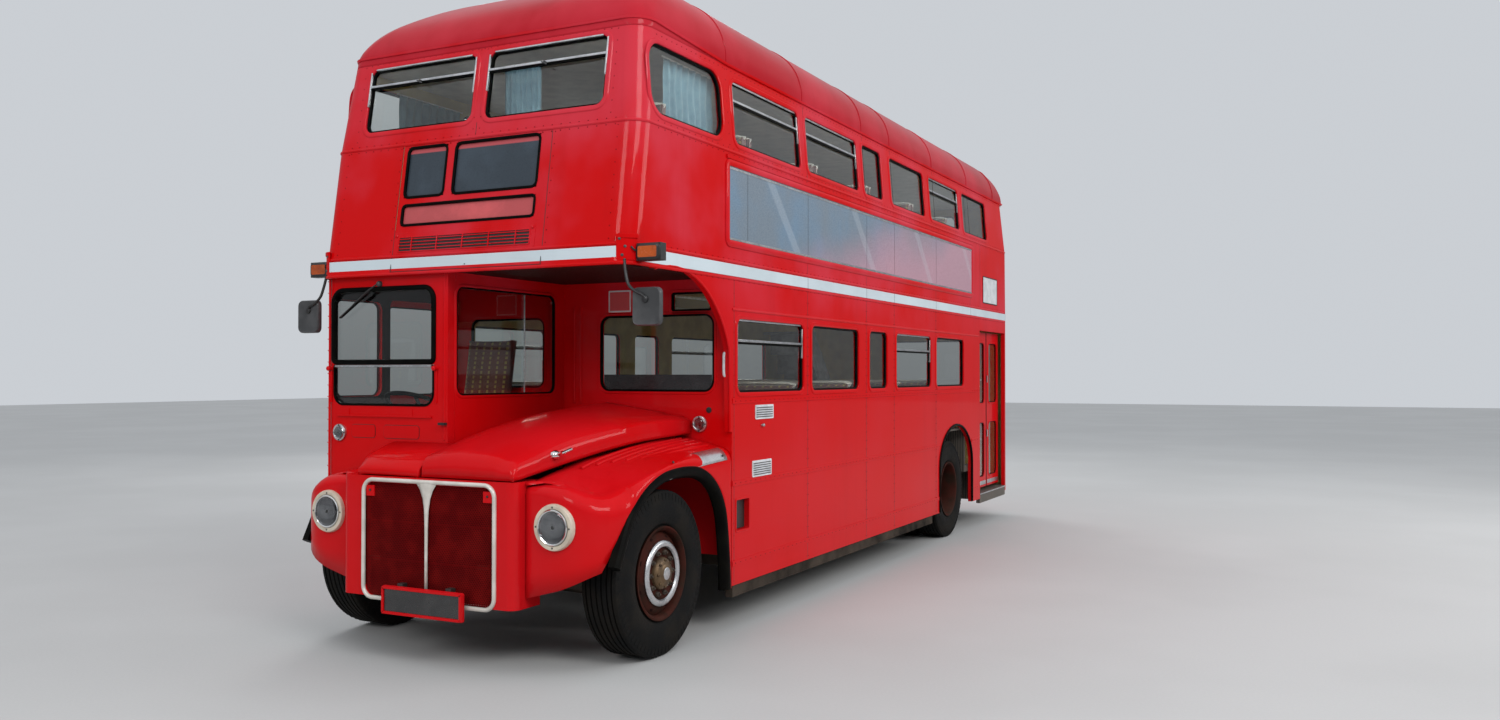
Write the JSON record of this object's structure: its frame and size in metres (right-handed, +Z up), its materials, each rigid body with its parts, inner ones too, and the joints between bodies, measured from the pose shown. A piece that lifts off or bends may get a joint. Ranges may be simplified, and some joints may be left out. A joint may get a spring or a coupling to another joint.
{
  "type": "half-cab double-deck bus",
  "caption": "Front-engined half-cab double-deck bus with a rear entrance, steered front wheels, twin rear wheels, folding doors, lifting bonnet and sliding cab door.",
  "frame": {"origin": "on the ground, under the centre of the overall box", "axes": "+X to the bus's own left (nearside), -Y forwards, +Z up"},
  "size_m": [2.848, 9.1, 4.38],
  "materials": {
    "red_paint": "glossy coach paint, slightly faded on top",
    "dark_red_paint": "satin dark red on grille mesh and wheels",
    "cream_trim": "satin cream grey",
    "black_paint": "satin chassis black",
    "grey_iron": "oily dark iron",
    "silver": "brushed",
    "tyre": "matt black rubber with dust",
    "glass": "clear toughened glass",
    "lens": "clear lamp lens",
    "amber_lens": "amber lens in a black housing",
    "seat_fabric": "woven wool in muted yellow and brown",
    "curtain_fabric": "pale blue hanging cloth",
    "table_top": "varnished",
    "floor_cover": "worn brown floor covering",
    "slate_panel": "slate blue glazed panel",
    "plate_black": "blank black plate in a red surround",
    "grip_plastic": "black moulded rim"
  },
  "bodies": {
    "coachwork": {"nearside_lower_wall": "red_paint", "offside_lower_wall": "red_paint", "upper_side_walls": "red_paint", "upper_front_wall": "red_paint", "upper_rear_wall": "red_paint", "lower_rear_wall": "red_paint", "roof": "red_paint", "lower_floor": "floor_cover", "upper_floor": "floor_cover", "bulkhead": "red_paint", "staircase": "floor_cover", "window_glass": "glass", "cab_shell": "red_paint", "cab_floor": "floor_cover", "driver_seat": "seat_fabric", "steering_column": "black_paint", "destination_box": "slate_panel", "front_wings": "red_paint", "radiator_cowl": "red_paint", "grille": "cream_trim", "cab_fairing": "red_paint", "lamps": "lens", "mirrors": "silver", "indicators": "amber_lens", "number_plates": "plate_black", "advert_frames": "slate_panel", "sill_rails": "black_paint", "lower_seats": "seat_fabric", "upper_seats": "seat_fabric", "tables": "table_top", "curtains": "curtain_fabric", "underframe": "black_paint", "cross_members": "black_paint", "towing_eyes": "black_paint", "leaf_springs": "black_paint", "front_axle": "grey_iron", "rear_axle": "grey_iron", "engine": "grey_iron", "gearbox_and_shaft": "grey_iron", "fuel_tank": "black_paint", "battery_box": "black_paint", "exhaust": "grey_iron"},
    "nearside_stub_axle": {"nearside_knuckle": "grey_iron"},
    "offside_stub_axle": {"offside_knuckle": "grey_iron"},
    "steering_track_rod": {"track_rod": "black_paint"},
    "nearside_front_wheel": {"nearside_front_tyre": "tyre", "nearside_front_rim": "dark_red_paint"},
    "offside_front_wheel": {"offside_front_tyre": "tyre", "offside_front_rim": "dark_red_paint"},
    "nearside_rear_wheel": {"nearside_rear_tyres": "tyre", "nearside_rear_rims": "dark_red_paint"},
    "offside_rear_wheel": {"offside_rear_tyres": "tyre", "offside_rear_rims": "dark_red_paint"},
    "driver_steering_wheel": {"steering_wheel": "grip_plastic"},
    "engine_cover": {"bonnet": "red_paint"},
    "sliding_cab_door": {"cab_door": "red_paint"},
    "front_folding_leaf": {"front_door_leaf": "red_paint"},
    "rear_folding_leaf": {"rear_door_leaf": "red_paint"}
  },
  "joints": [
    {"name": "nearside_steer", "type": "hinge", "parent": "coachwork", "child": "nearside_stub_axle", "pos_m": [0.8, -3.68, 0.41], "axis": [0, 0, 1], "range_deg": [-32, 32]},
    {"name": "offside_steer", "type": "hinge", "parent": "coachwork", "child": "offside_stub_axle", "pos_m": [-0.8, -3.68, 0.41], "axis": [0, 0, 1], "range_deg": [-32, 32]},
    {"name": "track_rod_swivel", "type": "hinge", "parent": "nearside_stub_axle", "child": "steering_track_rod", "pos_m": [0.8, -3.5, 0.34], "axis": [0, 0, 1], "range_deg": [-32, 32]},
    {"name": "steering_wheel_turn", "type": "hinge", "parent": "coachwork", "child": "driver_steering_wheel", "pos_m": [-0.74, -3.71, 1.488], "axis": [0, 0.4372, 0.8994], "range_deg": [-640, 640]},
    {"name": "nearside_front_wheel_spin", "type": "hinge", "parent": "nearside_stub_axle", "child": "nearside_front_wheel", "pos_m": [1.035, -3.68, 0.505], "axis": [1, 0, 0], "continuous": true},
    {"name": "offside_front_wheel_spin", "type": "hinge", "parent": "offside_stub_axle", "child": "offside_front_wheel", "pos_m": [-1.035, -3.68, 0.505], "axis": [1, 0, 0], "continuous": true},
    {"name": "nearside_rear_wheel_spin", "type": "hinge", "parent": "coachwork", "child": "nearside_rear_wheel", "pos_m": [0.885, 2.162, 0.505], "axis": [1, 0, 0], "continuous": true},
    {"name": "offside_rear_wheel_spin", "type": "hinge", "parent": "coachwork", "child": "offside_rear_wheel", "pos_m": [-0.885, 2.162, 0.505], "axis": [1, 0, 0], "continuous": true},
    {"name": "bonnet_lift", "type": "hinge", "parent": "coachwork", "child": "engine_cover", "pos_m": [-0.037, -4.38, 1.245], "axis": [0, -0.9881, -0.1536], "range_deg": [0, 55]},
    {"name": "cab_door_slide", "type": "slide", "parent": "coachwork", "child": "sliding_cab_door", "axis": [0, 1, 0], "range_m": [0, 0.6]},
    {"name": "front_leaf_fold", "type": "hinge", "parent": "coachwork", "child": "front_folding_leaf", "pos_m": [1.15, 3.198, 1.3], "axis": [0, 0, 1], "range_deg": [0, 85]},
    {"name": "rear_leaf_fold", "type": "hinge", "parent": "front_folding_leaf", "child": "rear_folding_leaf", "pos_m": [1.15, 3.745, 1.3], "axis": [0, 0, 1], "range_deg": [-170, 0]}
  ],
  "couplings": [
    {"joint": "offside_steer", "follows": "nearside_steer", "ratio": 1},
    {"joint": "track_rod_swivel", "follows": "nearside_steer", "ratio": -1},
    {"joint": "steering_wheel_turn", "follows": "nearside_steer", "ratio": 20},
    {"joint": "rear_leaf_fold", "follows": "front_leaf_fold", "ratio": -2}
  ]
}
